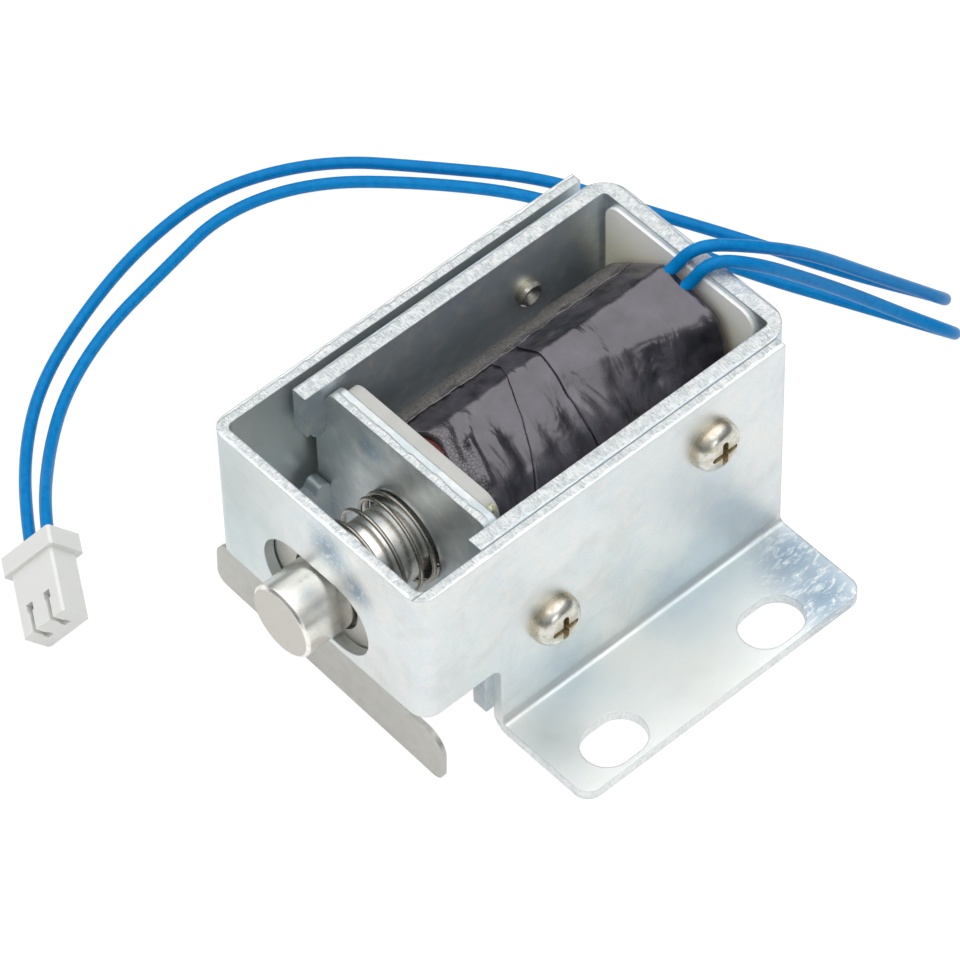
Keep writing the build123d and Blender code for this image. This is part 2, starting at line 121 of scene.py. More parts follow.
def sums(tree, operation, first, second=0.0):
    """One step of arithmetic on values or sockets."""
    node = tree.nodes.new("ShaderNodeMath")
    node.operation = operation
    plug_in(tree, node.inputs[0], first)
    plug_in(tree, node.inputs[1], second)
    return node.outputs[0]


def blend_colours(tree, share, first, second):
    """From the first colour to the second, by a share of 0 to 1."""
    node = tree.nodes.new("ShaderNodeMix")
    node.data_type = "RGBA"
    plug_in(tree, node.inputs[0], share)
    plug_in(tree, node.inputs[6], first)
    plug_in(tree, node.inputs[7], second)
    return node.outputs[2]


def relief(tree, height, depth, strength=1.0, under=None):
    """A bump from a height of 0 to 1, its depth in millimetres."""
    node = tree.nodes.new("ShaderNodeBump")
    node.inputs["Strength"].default_value = strength
    node.inputs["Distance"].default_value = depth / 1000
    plug_in(tree, node.inputs["Height"], height)
    if under is not None:
        plug_in(tree, node.inputs["Normal"], under)
    return node.outputs[0]


def rounded(tree, radius):
    """A normal that softens a piece's own sharp edges, its radius in millimetres."""
    node = tree.nodes.new("ShaderNodeBevel")
    node.samples = 4
    node.inputs["Radius"].default_value = radius / 1000
    return node.outputs[0]


def axes(tree):
    """The point's x, y, z in millimetres in the row frame, and the face's own direction."""
    split = tree.nodes.new("ShaderNodeSeparateXYZ")
    tree.links.new(place(tree), split.inputs[0])
    source = tree.nodes.new("ShaderNodeTexCoord")
    facing = tree.nodes.new("ShaderNodeSeparateXYZ")
    tree.links.new(source.outputs["Normal"], facing.inputs[0])
    return split.outputs, facing.outputs


def near(tree, point, reach):
    """1 at a point and 0 a reach away from it, in millimetres."""
    distance = tree.nodes.new("ShaderNodeVectorMath")
    distance.operation = "DISTANCE"
    tree.links.new(place(tree), distance.inputs[0])
    distance.inputs[1].default_value = [1000 * c for c in point]
    return span(tree, distance.outputs["Value"], 0.0, reach, 1.0, 0.0, "SMOOTHSTEP")


# Materials

def from_edges(tree, point, edges):
    """Distance in from the nearest of some upright planes, and whether that plane lies across Y."""
    least = {"x": None, "y": None}
    for axis, position, inward in edges:
        row = 1000 * (at(position, 0, 0).x if axis == "x" else at(0, position, 0).y)
        away = sums(tree, "MULTIPLY", sums(tree, "SUBTRACT", point[0 if axis == "x" else 1], row), inward)
        least[axis] = away if least[axis] is None else sums(tree, "MINIMUM", least[axis], away)
    if least["x"] is None:
        return least["y"], 1.0
    nearest = sums(tree, "MINIMUM", least["x"], least["y"])
    return nearest, sums(tree, "LESS_THAN", least["y"], least["x"])


def zinc_face(tree, point, tone, washes, patches):
    """The colour of the plated faces: cloudy, with tinted washes, bluish rubbed patches and a painted
    highlight that lightens the flange.
    """
    spot = place(tree)
    broad = cloud(tree, spot, 9.0, 2.0)
    middle = cloud(tree, spot, 2.2, 4.0, 0.6, 0.6)
    fine = cloud(tree, spot, 0.16, 3.0, 0.7)
    drift = cloud(tree, spot, 5.0, 5.0, 0.65, 0.8)
    cool = [0.90 * tone[0], 0.95 * tone[1], tone[2]]
    face = blend_colours(tree, span(tree, broad, 0.35, 0.65), tone, cool)
    dim = [0.86 * part for part in tone]
    face = blend_colours(tree, span(tree, drift, 0.48, 0.68, 0.0, 0.55), face, dim)
    face = blend_colours(tree, span(tree, middle, 0.45, 0.72, 0.0, 0.6), face, (0.83, 0.82, 0.785))
    face = blend_colours(tree, span(tree, fine, 0.30, 0.42, 0.45, 0.0), face, (0.40, 0.44, 0.45))
    # Painted highlight: the flange's top and the foot of the walls are painted lighter, as the top light
    # falls on them
    flange = span(tree, point[2], bracket_sheet + 0.2, 3.0, 0.6, 0.0)
    face = blend_colours(tree, flange, face, (0.91, 0.925, 0.90))
    uneven = span(tree, drift, 0.3, 0.7, 0.7, 1.0)
    for centre, reach, share, wash in washes:
        here = sums(tree, "MULTIPLY", near(tree, at(*centre), reach), uneven)
        face = blend_colours(tree, sums(tree, "MULTIPLY", here, share), face, wash)
    rub = cloud(tree, place(tree, (1.0, 0.4, 1.0), (0.3, 0.2, 0.5)), 0.8, 5.0, 0.75, 0.8)
    rubbed = span(tree, rub, 0.34, 0.50, 0.1, 1.0)
    for centre, reach in patches:
        here = sums(tree, "MULTIPLY", near(tree, at(*centre), reach), rubbed)
        face = blend_colours(tree, here, face, (0.27, 0.37, 0.46))
    return face, broad, middle, fine, drift


def zinc_cut(tree, point, top, facing, middle, edges, smooth_to):
    """Where the sheet is torn by the shear, and the torn grain, which runs across the sheet."""
    low_side = sums(tree, "SUBTRACT", 1.0, span(tree, sums(tree, "ABSOLUTE", facing[2]), 0.2, 0.4))
    below = span(tree, point[2], bracket_sheet + 0.05, bracket_sheet + 0.1, 0.45, 0.0)
    inward, across_y = from_edges(tree, point, edges)
    ragged = sums(tree, "ADD", inward, span(tree, middle, 0.3, 0.7, -0.18, 0.18))
    torn_top = sums(tree, "MULTIPLY", top, span(tree, ragged, smooth_to - 0.1, smooth_to + 0.1))
    where = sums(tree, "MAXIMUM", torn_top, sums(tree, "MULTIPLY", low_side, below))
    along_y = cloud(tree, place(tree, (1.0, 0.3, 0.3)), 0.17, 5.0, 0.75, 0.5)
    along_x = cloud(tree, place(tree, (0.3, 1.0, 0.3)), 0.17, 5.0, 0.75, 0.5)
    grain = sums(tree, "ADD", sums(tree, "MULTIPLY", along_y, across_y),
                 sums(tree, "MULTIPLY", along_x, sums(tree, "SUBTRACT", 1.0, across_y)))
    blotch = cloud(tree, place(tree), 0.9, 3.0, 0.6, 0.5)
    return where, sums(tree, "ADD", grain, span(tree, blotch, 0.3, 0.7, -0.10, 0.10))


def zinc(name, rim, edges, smooth_to, patches=(), tone=(0.77, 0.795, 0.78), joint=None, washes=()):
    """Zinc-plated sheet: satin faces, and sheared edges that are rolled over and then torn."""
    made, tree, shader = material(name)
    point, facing = axes(tree)
    face, broad, middle, fine, drift = zinc_face(tree, point, tone, washes, patches)
    top = sums(tree, "MULTIPLY", span(tree, facing[2], 0.6, 0.8), span(tree, point[2], rim - 0.3, rim))
    where, grain = zinc_cut(tree, point, top, facing, middle, edges, smooth_to)
    torn = blend_colours(tree, span(tree, grain, 0.34, 0.60), (0.49, 0.55, 0.57), (0.90, 0.92, 0.92))
    colour = blend_colours(tree, where, face, torn)
    if joint is not None:
        line = sums(tree, "ABSOLUTE", sums(tree, "SUBTRACT", point[0], 1000 * at(joint, 0, 0).x))
        line = sums(tree, "MULTIPLY", top, span(tree, line, 0.03, 0.14, 0.8, 0.0))
        colour = blend_colours(tree, line, colour, (0.24, 0.26, 0.27))
    plug_in(tree, shader.inputs["Base Color"], colour)
    shader.inputs["Metallic"].default_value = 0.82
    rough = span(tree, drift, 0.3, 0.7, 0.30, 0.47)
    rough = sums(tree, "ADD", rough, sums(tree, "MULTIPLY", where, 0.06))
    plug_in(tree, shader.inputs["Roughness"], rough)
    soft = relief(tree, fine, 0.012, 0.5, rounded(tree, 0.22))
    wave = relief(tree, broad, 0.25, 0.35, soft)
    coarse = relief(tree, sums(tree, "MULTIPLY", grain, where), 0.14, 0.8, wave)
    plug_in(tree, shader.inputs["Normal"], coarse)
    return made


def turned_metal(name, colour, rough, metallic=1.0, streak=(1.0, 0.06, 1.0), depth=0.01, tint=None):
    """Bar, wire or plate with fine drawn streaks along it."""
    made, tree, shader = material(name)
    lines = cloud(tree, place(tree, streak), 0.09, 3.0, 0.6)
    dull = cloud(tree, place(tree), 1.6, 3.0, 0.6)
    darker = [0.72 * c for c in colour]
    shade = blend_colours(tree, span(tree, dull, 0.4, 0.75, 0.0, 0.55), colour, tint or darker)
    plug_in(tree, shader.inputs["Base Color"], shade)
    shader.inputs["Metallic"].default_value = metallic
    worn = sums(tree, "ADD", lines, dull)
    plug_in(tree, shader.inputs["Roughness"], span(tree, worn, 0.7, 1.3, rough - 0.06, rough + 0.1))
    plug_in(tree, shader.inputs["Normal"], relief(tree, lines, depth, 0.5))
    return made


def bolt_metal():
    """Nickel-plated bar: bright drawn sides with warm stains, and a flat beige end face."""
    made, tree, shader = material("bolt_nickel")
    facing = axes(tree)[1]
    lines = cloud(tree, place(tree, (1.0, 0.05, 1.0)), 0.12, 3.0, 0.6)
    specks = cloud(tree, place(tree), 0.5, 4.0, 0.7)
    stain = cloud(tree, place(tree, (1.0, 0.2, 1.0)), 1.2, 4.0, 0.7, 0.4)
    end = span(tree, facing[1], -0.95, -0.8, 1.0, 0.0)
    dulled = span(tree, specks, 0.45, 0.7, 0.0, 0.6)
    side = blend_colours(tree, dulled, (0.95, 0.93, 0.88), (0.80, 0.77, 0.69))
    side = blend_colours(tree, span(tree, stain, 0.40, 0.70, 0.0, 0.22), side, (0.45, 0.42, 0.34))
    plug_in(tree, shader.inputs["Base Color"], blend_colours(tree, end, side, (0.65, 0.635, 0.585)))
    shader.inputs["Metallic"].default_value = 0.95
    rough = span(tree, specks, 0.3, 0.7, 0.22, 0.28)
    plug_in(tree, shader.inputs["Roughness"], sums(tree, "ADD", rough, sums(tree, "MULTIPLY", end, 0.35)))
    plug_in(tree, shader.inputs["Normal"], relief(tree, lines, 0.012, 0.5, rounded(tree, 0.2)))
    return made


screw_faces = [(x, y, z) for x in (bracket_width + screw_head, -screw_head) for y, z in screws]


def screw_metal():
    """Nickel-plated screw with painted warm shade and reflection in the recess and on the head's sides, and
    a bright dome.
    """
    made, tree, shader = material("screw_nickel")
    facing = axes(tree)[1]
    worn = cloud(tree, place(tree), 0.7, 4.0, 0.65, 0.5)
    # Faces that do not face along X, the recess walls and the head's sides, get a painted warm shade
    inward = span(tree, sums(tree, "ABSOLUTE", facing[0]), 0.2, 0.45, 1.0, 0.0)
    colour = blend_colours(tree, span(tree, worn, 0.45, 0.7), (0.70, 0.695, 0.64), (0.52, 0.49, 0.38))
    colour = blend_colours(tree, sums(tree, "MULTIPLY", inward, 0.6), colour, (0.52, 0.42, 0.27))
    # Noise that makes the painted shade in the recess patchy
    recess_shade_mottle = span(tree, worn, 0.35, 0.55, 0.9, 0.6)
    # Painted shade and warm reflection over each head's cross recess
    for centre in screw_faces:
        recess = sums(tree, "MULTIPLY", near(tree, at(*centre), 2.0), 1.6)
        recess = sums(tree, "MULTIPLY", sums(tree, "MINIMUM", recess, 1.0), recess_shade_mottle)
        colour = blend_colours(tree, recess, colour, (0.36, 0.31, 0.20))
    plug_in(tree, shader.inputs["Base Color"], colour)
    shader.inputs["Metallic"].default_value = 1.0
    plug_in(tree, shader.inputs["Roughness"], span(tree, worn, 0.3, 0.7, 0.2, 0.38))
    plug_in(tree, shader.inputs["Normal"], relief(tree, worn, 0.03, 0.4))
    return made


def plastic(name, colour, rough, tint=None, spread=0.12, cloudy=0.25, depth=0.01):
    """Moulded plastic with a faint mottle and a little light let in."""
    made, tree, shader = material(name)
    mottle = cloud(tree, place(tree), 3.0, 3.0)
    grain = cloud(tree, place(tree), 0.18, 3.0, 0.7)
    other = tint or [0.9 * c for c in colour]
    shade = blend_colours(tree, span(tree, mottle, 0.35, 0.7, 0.0, cloudy), colour, other)
    plug_in(tree, shader.inputs["Base Color"], shade)
    plug_in(tree, shader.inputs["Roughness"], span(tree, mottle, 0.3, 0.7, rough - 0.05, rough + 0.07))
    shader.inputs["Subsurface Weight"].default_value = spread
    shader.inputs["Subsurface Radius"].default_value = (0.0012, 0.0011, 0.0009)
    plug_in(tree, shader.inputs["Normal"], relief(tree, grain, depth, 0.5))
    return made


def bobbin_nylon():
    """Cloudy moulded nylon, with painted light and shade: a greyer front flange, and a thin rear flange
    painted lighter, creamier low down and lightest at the top.
    """
    made, tree, shader = material("bobbin_nylon")
    point = axes(tree)[0]
    mottle = cloud(tree, place(tree), 3.0, 3.0)
    grain = cloud(tree, place(tree), 0.18, 3.0, 0.7)
    # Painted shade: the front flange is painted greyer than the nylon
    front = blend_colours(tree, span(tree, mottle, 0.35, 0.7), (0.47, 0.475, 0.455), (0.43, 0.435, 0.41))
    # Painted light: the rear flange is painted lighter towards its top
    high = span(tree, point[2], 20.0, 27.0)
    rear = blend_colours(tree, high, (0.80, 0.79, 0.62), (0.97, 0.97, 0.93))
    # The share of the rear flange's painted light, by distance back
    behind = span(tree, point[1], 0.0, 5.0)
    plug_in(tree, shader.inputs["Base Color"], blend_colours(tree, behind, front, rear))
    plug_in(tree, shader.inputs["Roughness"], span(tree, mottle, 0.3, 0.7, 0.38, 0.5))
    shader.inputs["Subsurface Weight"].default_value = 0.35
    shader.inputs["Subsurface Radius"].default_value = (0.003, 0.0028, 0.0022)
    plug_in(tree, shader.inputs["Normal"], relief(tree, grain, 0.01, 0.5, rounded(tree, 0.15)))
    return made


def crackle(tree, point, round_angle, haze):
    """Where the film is crackled along its front edge, and the cracks in it."""
    back = sums(tree, "ADD", point[1], span(tree, haze, 0.3, 0.7, -1.0, 1.0))
    where = span(tree, back, 1000 * at(0, 18.3, 0).y, 1000 * at(0, 16.9, 0).y)
    for none, full in ((44, 54), (104, 94)):
        share = span(tree, round_angle, math.radians(none), math.radians(full))
        where = sums(tree, "MULTIPLY", where, share)
    cells = tree.nodes.new("ShaderNodeTexVoronoi")
    cells.feature = "DISTANCE_TO_EDGE"
    cells.inputs["Scale"].default_value = 2.6
    tree.links.new(place(tree), cells.inputs["Vector"])
    return where, span(tree, cells.outputs["Distance"], 0.02, 0.12)


def tape_film():
    """Glossy black tape: violet-grey sheen, fine pits, dust and a dry speckled strip on its left side."""
    made, tree, shader = material("tape_film")
    pits = cloud(tree, place(tree), 0.13, 4.0, 0.75)
    haze = cloud(tree, place(tree), 2.5, 4.0, 0.6)
    dust = cloud(tree, place(tree), 0.34, 2.0, 0.8)
    speck = cloud(tree, place(tree), 0.24, 5.0, 0.8)
    point = axes(tree)[0]
    across = sums(tree, "SUBTRACT", point[0], 1000 * at(axis_x, 0, 0).x)
    height = sums(tree, "SUBTRACT", point[2], axis_z)
    round_angle = sums(tree, "ARCTAN2", height, across)
    wander = sums(tree, "ADD", round_angle, span(tree, haze, 0.3, 0.7, -0.06, 0.06))
    dry = span(tree, wander, math.radians(117), math.radians(124))
    crackled, crack = crackle(tree, point, round_angle, haze)
    black = span(tree, haze, 0.35, 0.7)
    colour = blend_colours(tree, black, (0.005, 0.0045, 0.005), (0.050, 0.045, 0.053))
    colour = blend_colours(tree, span(tree, dust, 0.73, 0.77, 0.0, 0.35), colour, (0.35, 0.34, 0.33))
    speckled = blend_colours(tree, span(tree, speck, 0.42, 0.62), (0.025, 0.024, 0.022), (0.21, 0.20, 0.175))
    flaked = blend_colours(tree, crack, (0.010, 0.010, 0.010), (0.055, 0.052, 0.05))
    colour = blend_colours(tree, sums(tree, "MULTIPLY", crackled, 0.8), colour, flaked)
    plug_in(tree, shader.inputs["Base Color"], blend_colours(tree, dry, colour, speckled))
    rough = span(tree, haze, 0.3, 0.7, 0.15, 0.25)
    plug_in(tree, shader.inputs["Roughness"], sums(tree, "ADD", rough, sums(tree, "MULTIPLY", dry, 0.35)))
    shader.inputs["IOR"].default_value = 1.7
    shader.inputs["Specular IOR Level"].default_value = 0.78
    shader.inputs["Specular Tint"].default_value = (0.95, 0.90, 1.0, 1.0)
    gathers = cloud(tree, place(tree, (0.45, 1.0, 0.45)), 3.4, 3.0, 0.5, 0.6)
    pitted = relief(tree, pits, 0.03, 0.4, relief(tree, gathers, 0.9, 0.58))
    cracks = sums(tree, "MULTIPLY", crack, crackled)
    plug_in(tree, shader.inputs["Normal"], relief(tree, cracks, 0.05, 0.5, pitted))
    return made


def copper_turns():
    """Dark red enamel over copper wire, a little uneven from turn to turn."""
    made, tree, shader = material("enamelled_turns")
    uneven = cloud(tree, place(tree, (0.2, 1.0, 0.2)), 0.5, 3.0, 0.6)
    colour = blend_colours(tree, span(tree, uneven, 0.35, 0.65), (0.10, 0.005, 0.004), (0.26, 0.014, 0.010))
    plug_in(tree, shader.inputs["Base Color"], colour)
    plug_in(tree, shader.inputs["Roughness"], span(tree, uneven, 0.3, 0.7, 0.22, 0.35))
    shader.inputs["Coat Weight"].default_value = 0.5
    return made


def insulation():
    """Smooth blue sleeving with faint handling marks."""
    made, tree, shader = material("blue_sleeving")
    marks = cloud(tree, place(tree), 0.9, 4.0, 0.65)
    grain = cloud(tree, place(tree), 0.2, 2.0)
    colour = blend_colours(tree, span(tree, marks, 0.35, 0.7), (0.0, 0.160, 0.43), (0.0, 0.205, 0.52))
    plug_in(tree, shader.inputs["Base Color"], colour)
    plug_in(tree, shader.inputs["Roughness"], span(tree, marks, 0.3, 0.7, 0.28, 0.40))
    shader.inputs["Specular IOR Level"].default_value = 0.12
    plug_in(tree, shader.inputs["Normal"], relief(tree, grain, 0.01, 0.4))
    return made


def set_glue():
    """Yellowish set glue with dark pits."""
    made, tree, shader = material("set_glue")
    pits = cloud(tree, place(tree), 0.35, 3.0, 0.7, 0.8)
    colour = blend_colours(tree, span(tree, pits, 0.40, 0.55), (0.16, 0.16, 0.10), (0.58, 0.58, 0.40))
    plug_in(tree, shader.inputs["Base Color"], colour)
    plug_in(tree, shader.inputs["Roughness"], span(tree, pits, 0.3, 0.7, 0.5, 0.3))
    plug_in(tree, shader.inputs["Normal"], relief(tree, pits, 0.12, 0.7))
    return made


# Mesh helpers

def mesh_piece(name, points, faces, made, body, smooth=True):
    """A mesh from points in bracket millimetres, riding on a body."""
    data = bpy.data.meshes.new(name)
    data.from_pydata([at(*p) for p in points], [], faces)
    data.update()
    piece = bpy.data.objects.new(name, data)
    bpy.context.scene.collection.objects.link(piece)
    data.materials.append(made)
    for polygon in data.polygons:
        polygon.use_smooth = smooth
    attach(piece, body)
    return piece


def grid_faces(rows, columns, closed):
    """Quads over a grid of points, closed round each row or open."""
    faces = []
    for r in range(rows - 1):
        for c in range(columns if closed else columns - 1):
            d = (c + 1) % columns
            faces.append((r * columns + c, r * columns + d, (r + 1) * columns + d, (r + 1) * columns + c))
    return faces


# Leads: points along each middle line, in millimetres

route_a = [
    (13.8, 42.6, 24.5), (14.7, 45.7, 25.9), (16.2, 47.9, 29.8), (18.7, 52.2, 28.5), (20.4, 59.0, 23.6),
    (21.9, 66.6, 15.6), (22.8, 71.6, 10.4), (23.4, 76.6, 5.0), (19.7, 79.0, 0.65), (10.9, 74.3, 0.65),
    (0.0, 69.6, 0.65), (-9.8, 64.9, 0.65), (-19.6, 60.7, 0.65), (-28.5, 53.3, 0.65), (-37.0, 45.8, 0.65),
    (-41.8, 35.2, 0.65), (-41.2, 25.0, 0.65), (-38.6, 15.5, 0.65), (-34.0, 5.0, 0.65), (-27.4, -2.6, 1.2),
]
route_b = [
    (16.1, 42.6, 24.1), (17.0, 45.7, 25.5), (18.5, 47.8, 29.7), (20.7, 51.8, 27.8), (21.7, 57.6, 22.0),
    (22.7, 63.6, 15.6), (24.6, 69.2, 9.6), (27.3, 74.0, 5.2), (23.9, 76.5, 0.65), (14.9, 72.2, 0.65),
    (4.2, 67.0, 0.65), (-8.2, 62.6, 0.65), (-18.8, 58.2, 0.65), (-27.6, 51.2, 0.65), (-35.6, 42.9, 0.65),
    (-38.8, 33.3, 0.65), (-36.9, 24.0, 0.65), (-34.9, 14.3, 0.65), (-31.2, 5.9, 0.65), (-25.2, -1.2, 2.0),
]


plug_centre = (-10.8, -12.85, 4.05)
plug_turns = [(-30.2, "Z"), (7.6, "Y"), (46.0, "X")]
plug_half_length, plug_half_pitch = 4.7, 1.25
plug_straight = 2.6


def plug_place():
    """The plug's own axes in bracket millimetres: X towards its mating end, Y across its two leads."""
    place_of = Matrix.Translation(plug_centre)
    for angle, axis in plug_turns:
        place_of = place_of @ Matrix.Rotation(math.radians(angle), 4, axis)
    return place_of


def plug_entry(side):
    """A lead's last two points, straight into the plug."""
    ends = (-plug_half_length - plug_straight, -plug_half_length + plug_straight)
    return [tuple(plug_place() @ Vector((x, side * plug_half_pitch, 0))) for x in ends]


def lead(name, points, made, node):
    """A round lead, a smooth spline on the route's points."""
    data = bpy.data.curves.new(name, "CURVE")
    data.dimensions = "3D"
    line = data.splines.new("NURBS")
    line.points.add(len(points) - 1)
    for knot, point in zip(line.points, points):
        knot.co = (*at(*point), 1)
    line.order_u = 3
    line.use_endpoint_u = True
    line.resolution_u = 10
    data.bevel_depth = lead_radius / 1000
    data.bevel_resolution = 6
    data.use_fill_caps = True
    piece = bpy.data.objects.new(name, data)
    bpy.context.scene.collection.objects.link(piece)
    data.materials.append(made)
    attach(piece, "base")
    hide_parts(node)
    return piece


blue = insulation()
for name, route, side, length in (("a", route_a, -1, 0.186), ("b", route_b, 1, 0.181)):
    sleeve = lead(f"lead_{name}_sleeve", route + plug_entry(side), blue, f"lead_{name}")


# Tape

# Folds: angle in degrees and distance back of each end, half width, height
creases = [
    ((94, 20.0), (80, 18.4), 0.38, 0.24), ((80, 18.4), (55, 17.4), 0.38, 0.26),
    ((91, 18.2), (74, 17.0), 0.42, -0.26), ((93, 17.3), (91, 16.6), 0.75, 0.26),
    ((72, 20.4), (53, 20.3), 0.80, 0.26), ((66, 22.0), (50, 21.6), 0.60, -0.18),
    ((76, 24.6), (52, 24.3), 0.80, 0.14), ((62, 29.6), (46, 30.6), 0.80, 0.20),
    ((80, 36.0), (50, 33.2), 0.85, -0.16), ((66, 35.6), (50, 35.9), 1.00, 0.16),
    ((60, 38.6), (46, 38.2), 0.70, -0.20), ((64, 40.6), (52, 41.0), 1.10, 0.24),
    ((94, 33.0), (76, 38.5), 0.90, 0.16), ((80, 43.0), (66, 42.4), 0.90, -0.10),
    ((112, 31.0), (104, 38.0), 0.90, -0.15), ((92, 40.0), (64, 37.0), 1.20, -0.14),
]


def ridge_rounds(y):
    """The two round bulges in the tape, one over each lead: centre and radius, at a distance back."""
    along = min(max((y - wrap_front) / (wrap_back - wrap_front), 0), 1)
    late = along ** 1.5
    over_a = (-1.3 + 1.0 * late, 8.5 + 1.9 * late, 1.35 - 0.15 * late)
    over_b = (-1.0 + 6.4 * late, 8.3 + 0.4 * late, 1.35 + 0.65 * late)
    return over_a, over_b


def wrap_outline(y, angles):
    """How far the tape stands from the axis: stretched over the round coil and the two bulges."""
    facing = np.linspace(-math.pi, math.pi, 361)[:-1]
    support = np.full(360, wrap_radius)
    for across, up, radius in ridge_rounds(y):
        support = np.maximum(support, across * np.cos(facing) + up * np.sin(facing) + radius)
    away = np.cos(facing[None, :] - angles[:, None])
    return np.min(np.where(away > 0.2, support[None, :] / np.maximum(away, 0.2), 1e3), axis=1)


def wrinkle(angle, y):
    """Soft folds round the coil, deeper on its right side, and small puckers."""
    right = max(0.0, math.cos(angle - math.radians(25)))
    fold = noise.noise(Vector((y * 0.40, angle * 1.1, 3.7)))
    gather = noise.noise(Vector((y * 0.85 + angle * 1.0, angle * 0.6, 31.0)))
    pucker = noise.noise(Vector((y * 0.9, angle * 3.0, 9.1)))
    ripple = noise.noise(Vector((y * 0.5 + angle * 2.0, angle * 1.6, 17.3)))
    return right * (0.45 * fold + 0.10 * gather) + 0.07 * pucker + 0.11 * ripple


def crease(angle, y):
    """The height of the single folds, each a soft ridge or valley between two points on the wrap."""
    spot = Vector((angle * wrap_radius, y))
    height = 0.0
    for start, end, half_width, rise in creases:
        first = Vector((math.radians(start[0]) * wrap_radius, start[1]))
        last = Vector((math.radians(end[0]) * wrap_radius, end[1]))
        run = last - first
        share = min(max((spot - first).dot(run) / run.length_squared, 0.0), 1.0)
        away = (spot - first - share * run).length / half_width
        if away < 3:
            height += rise * math.exp(-away * away)
    return height


def seam_rear(angle):
    """Where the rear seam crosses the tape, at each angle round the coil."""
    climb = min(max((math.degrees(angle) - 55) / 45, 0), 1)
    return 29.0 + climb * climb * (3 - 2 * climb)


def seam_front(angle):
    """Where the front seam crosses it: slanted over the right side."""
    up = math.degrees(angle)
    return min(26.8, 25.1 + 0.077 * (max(up, 20) - 87))


# Rows of points along each of the three turns, and the lip at each seam: a step back and a lift
turn_rows = (44, 26, 66)
front_lip = [(0.4, -0.03), (0.4, 0.05), (0.0, 0.10), (0.0, 0.22)]
rear_lip = [(0.4, 0.02), (0.4, 0.10), (0.0, 0.15), (0.0, 0.27)]
lips_start = (turn_rows[0] + 1, turn_rows[0] + len(front_lip) + turn_rows[1] + 1)


def wrap_rows():
    """Rows of points from front to back: which mark, how far on, a step along, and how far it is lifted."""
    first, second, third = turn_rows
    rows = [(0, s / first, 0.0, 0.0) for s in range(first + 1)]
    rows += [(1, 0, step, lift) for step, lift in front_lip]
    rows += [(1, s / second, 0.0, 0.22 - 0.17 * s / second) for s in range(1, second + 1)]
    rows += [(2, 0, step, lift) for step, lift in rear_lip]
    rows += [(2, s / third, 0.0, 0.27 - 0.17 * min(s / 30, 1)) for s in range(1, third + 1)]
    return rows


def on_coil(angle, y, radius):
    """A point at an angle round the coil's axis."""
    return axis_x + radius * math.cos(angle), y, axis_z + radius * math.sin(angle)


def tape_wrap(made):
    """The wrapped tape: three turns that lap over each other, with a lip at each seam."""
    count, pitch = 300, 0.25
    angles = np.linspace(0, 2 * math.pi, count, endpoint=False)
    angles = (angles + math.pi) % (2 * math.pi) - math.pi
    front = [wrap_front - 0.6 + 1.5 * math.exp(-((math.degrees(a) - 93) / 20) ** 2) for a in angles]
    marks = [front, [seam_front(a) for a in angles], [seam_rear(a) for a in angles], [wrap_back] * count]
    stations = np.arange(wrap_front - 1.5, wrap_back + 0.5, pitch)
    table = np.array([wrap_outline(y, angles) for y in stations])
    points = []
    rows = wrap_rows()
    for turn, share, step, lift in rows:
        for i, angle in enumerate(angles):
            y = marks[turn][i] + (marks[turn + 1][i] - marks[turn][i]) * share + step
            low = min(int((y - stations[0]) / pitch), len(stations) - 2)
            radius = table[low, i] + (table[low + 1, i] - table[low, i]) * ((y - stations[low]) / pitch)
            edge = max(min(1.0, (y - front[i]) / 0.8, (wrap_back - y) / 1.0), 0.0)
            radius += lift + wrinkle(angle, y) * edge + crease(angle, y) - 0.15 * (1 - min(edge * 2, 1.0))
            points.append(on_coil(angle, y, radius))
    for row in (0, len(rows) - 1):
        for i, angle in enumerate(angles):
            points.append(on_coil(angle, points[row * count + i][1], coil_radius))
    faces = grid_faces(len(rows), count, True)
    last, inner = (len(rows) - 1) * count, len(rows) * count
    for i in range(count):
        j = (i + 1) % count
        faces.append((inner + i, inner + j, j, i))
        faces.append((last + i, last + j, inner + count + j, inner + count + i))
    piece = mesh_piece("tape_wrap", points, faces, made, "base")
    for row in [start + step for start in lips_start for step in (0, 2, 3)]:
        for face in piece.data.polygons[(row - 1) * count:row * count]:
            face.use_smooth = False
    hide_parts("coil_tape")
    return piece


def wound_coil(made):
    """The winding, with its outer turns as fine rings at the end that shows in front of the tape."""
    count, wire, ringed = 160, 0.24, 14
    front, back, bore = 14.35, 47.05, 5.6
    rim = coil_radius - 0.12
    profile = []
    for turn in range(ringed):
        for k in range(7):
            bulge = 0.42 * wire * math.sin(math.pi * k / 7)
            profile.append((front + (turn + k / 7) * wire, rim + bulge))
    profile += [(front + ringed * wire, rim), (45.5, rim), (46.1, rim - 1.3), (back, rim - 1.3)]
    profile += [(back, bore), (front, bore)]
    points = []
    for y, radius in profile:
        for i in range(count):
            points.append(on_coil(2 * math.pi * i / count, y, radius))
    faces = grid_faces(len(profile), count, True)
    last = (len(profile) - 1) * count
    faces += [(last + i, last + (i + 1) % count, (i + 1) % count, i) for i in range(count)]
    piece = mesh_piece("wound_coil", points, faces, made, "base")
    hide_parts("winding")
    return piece


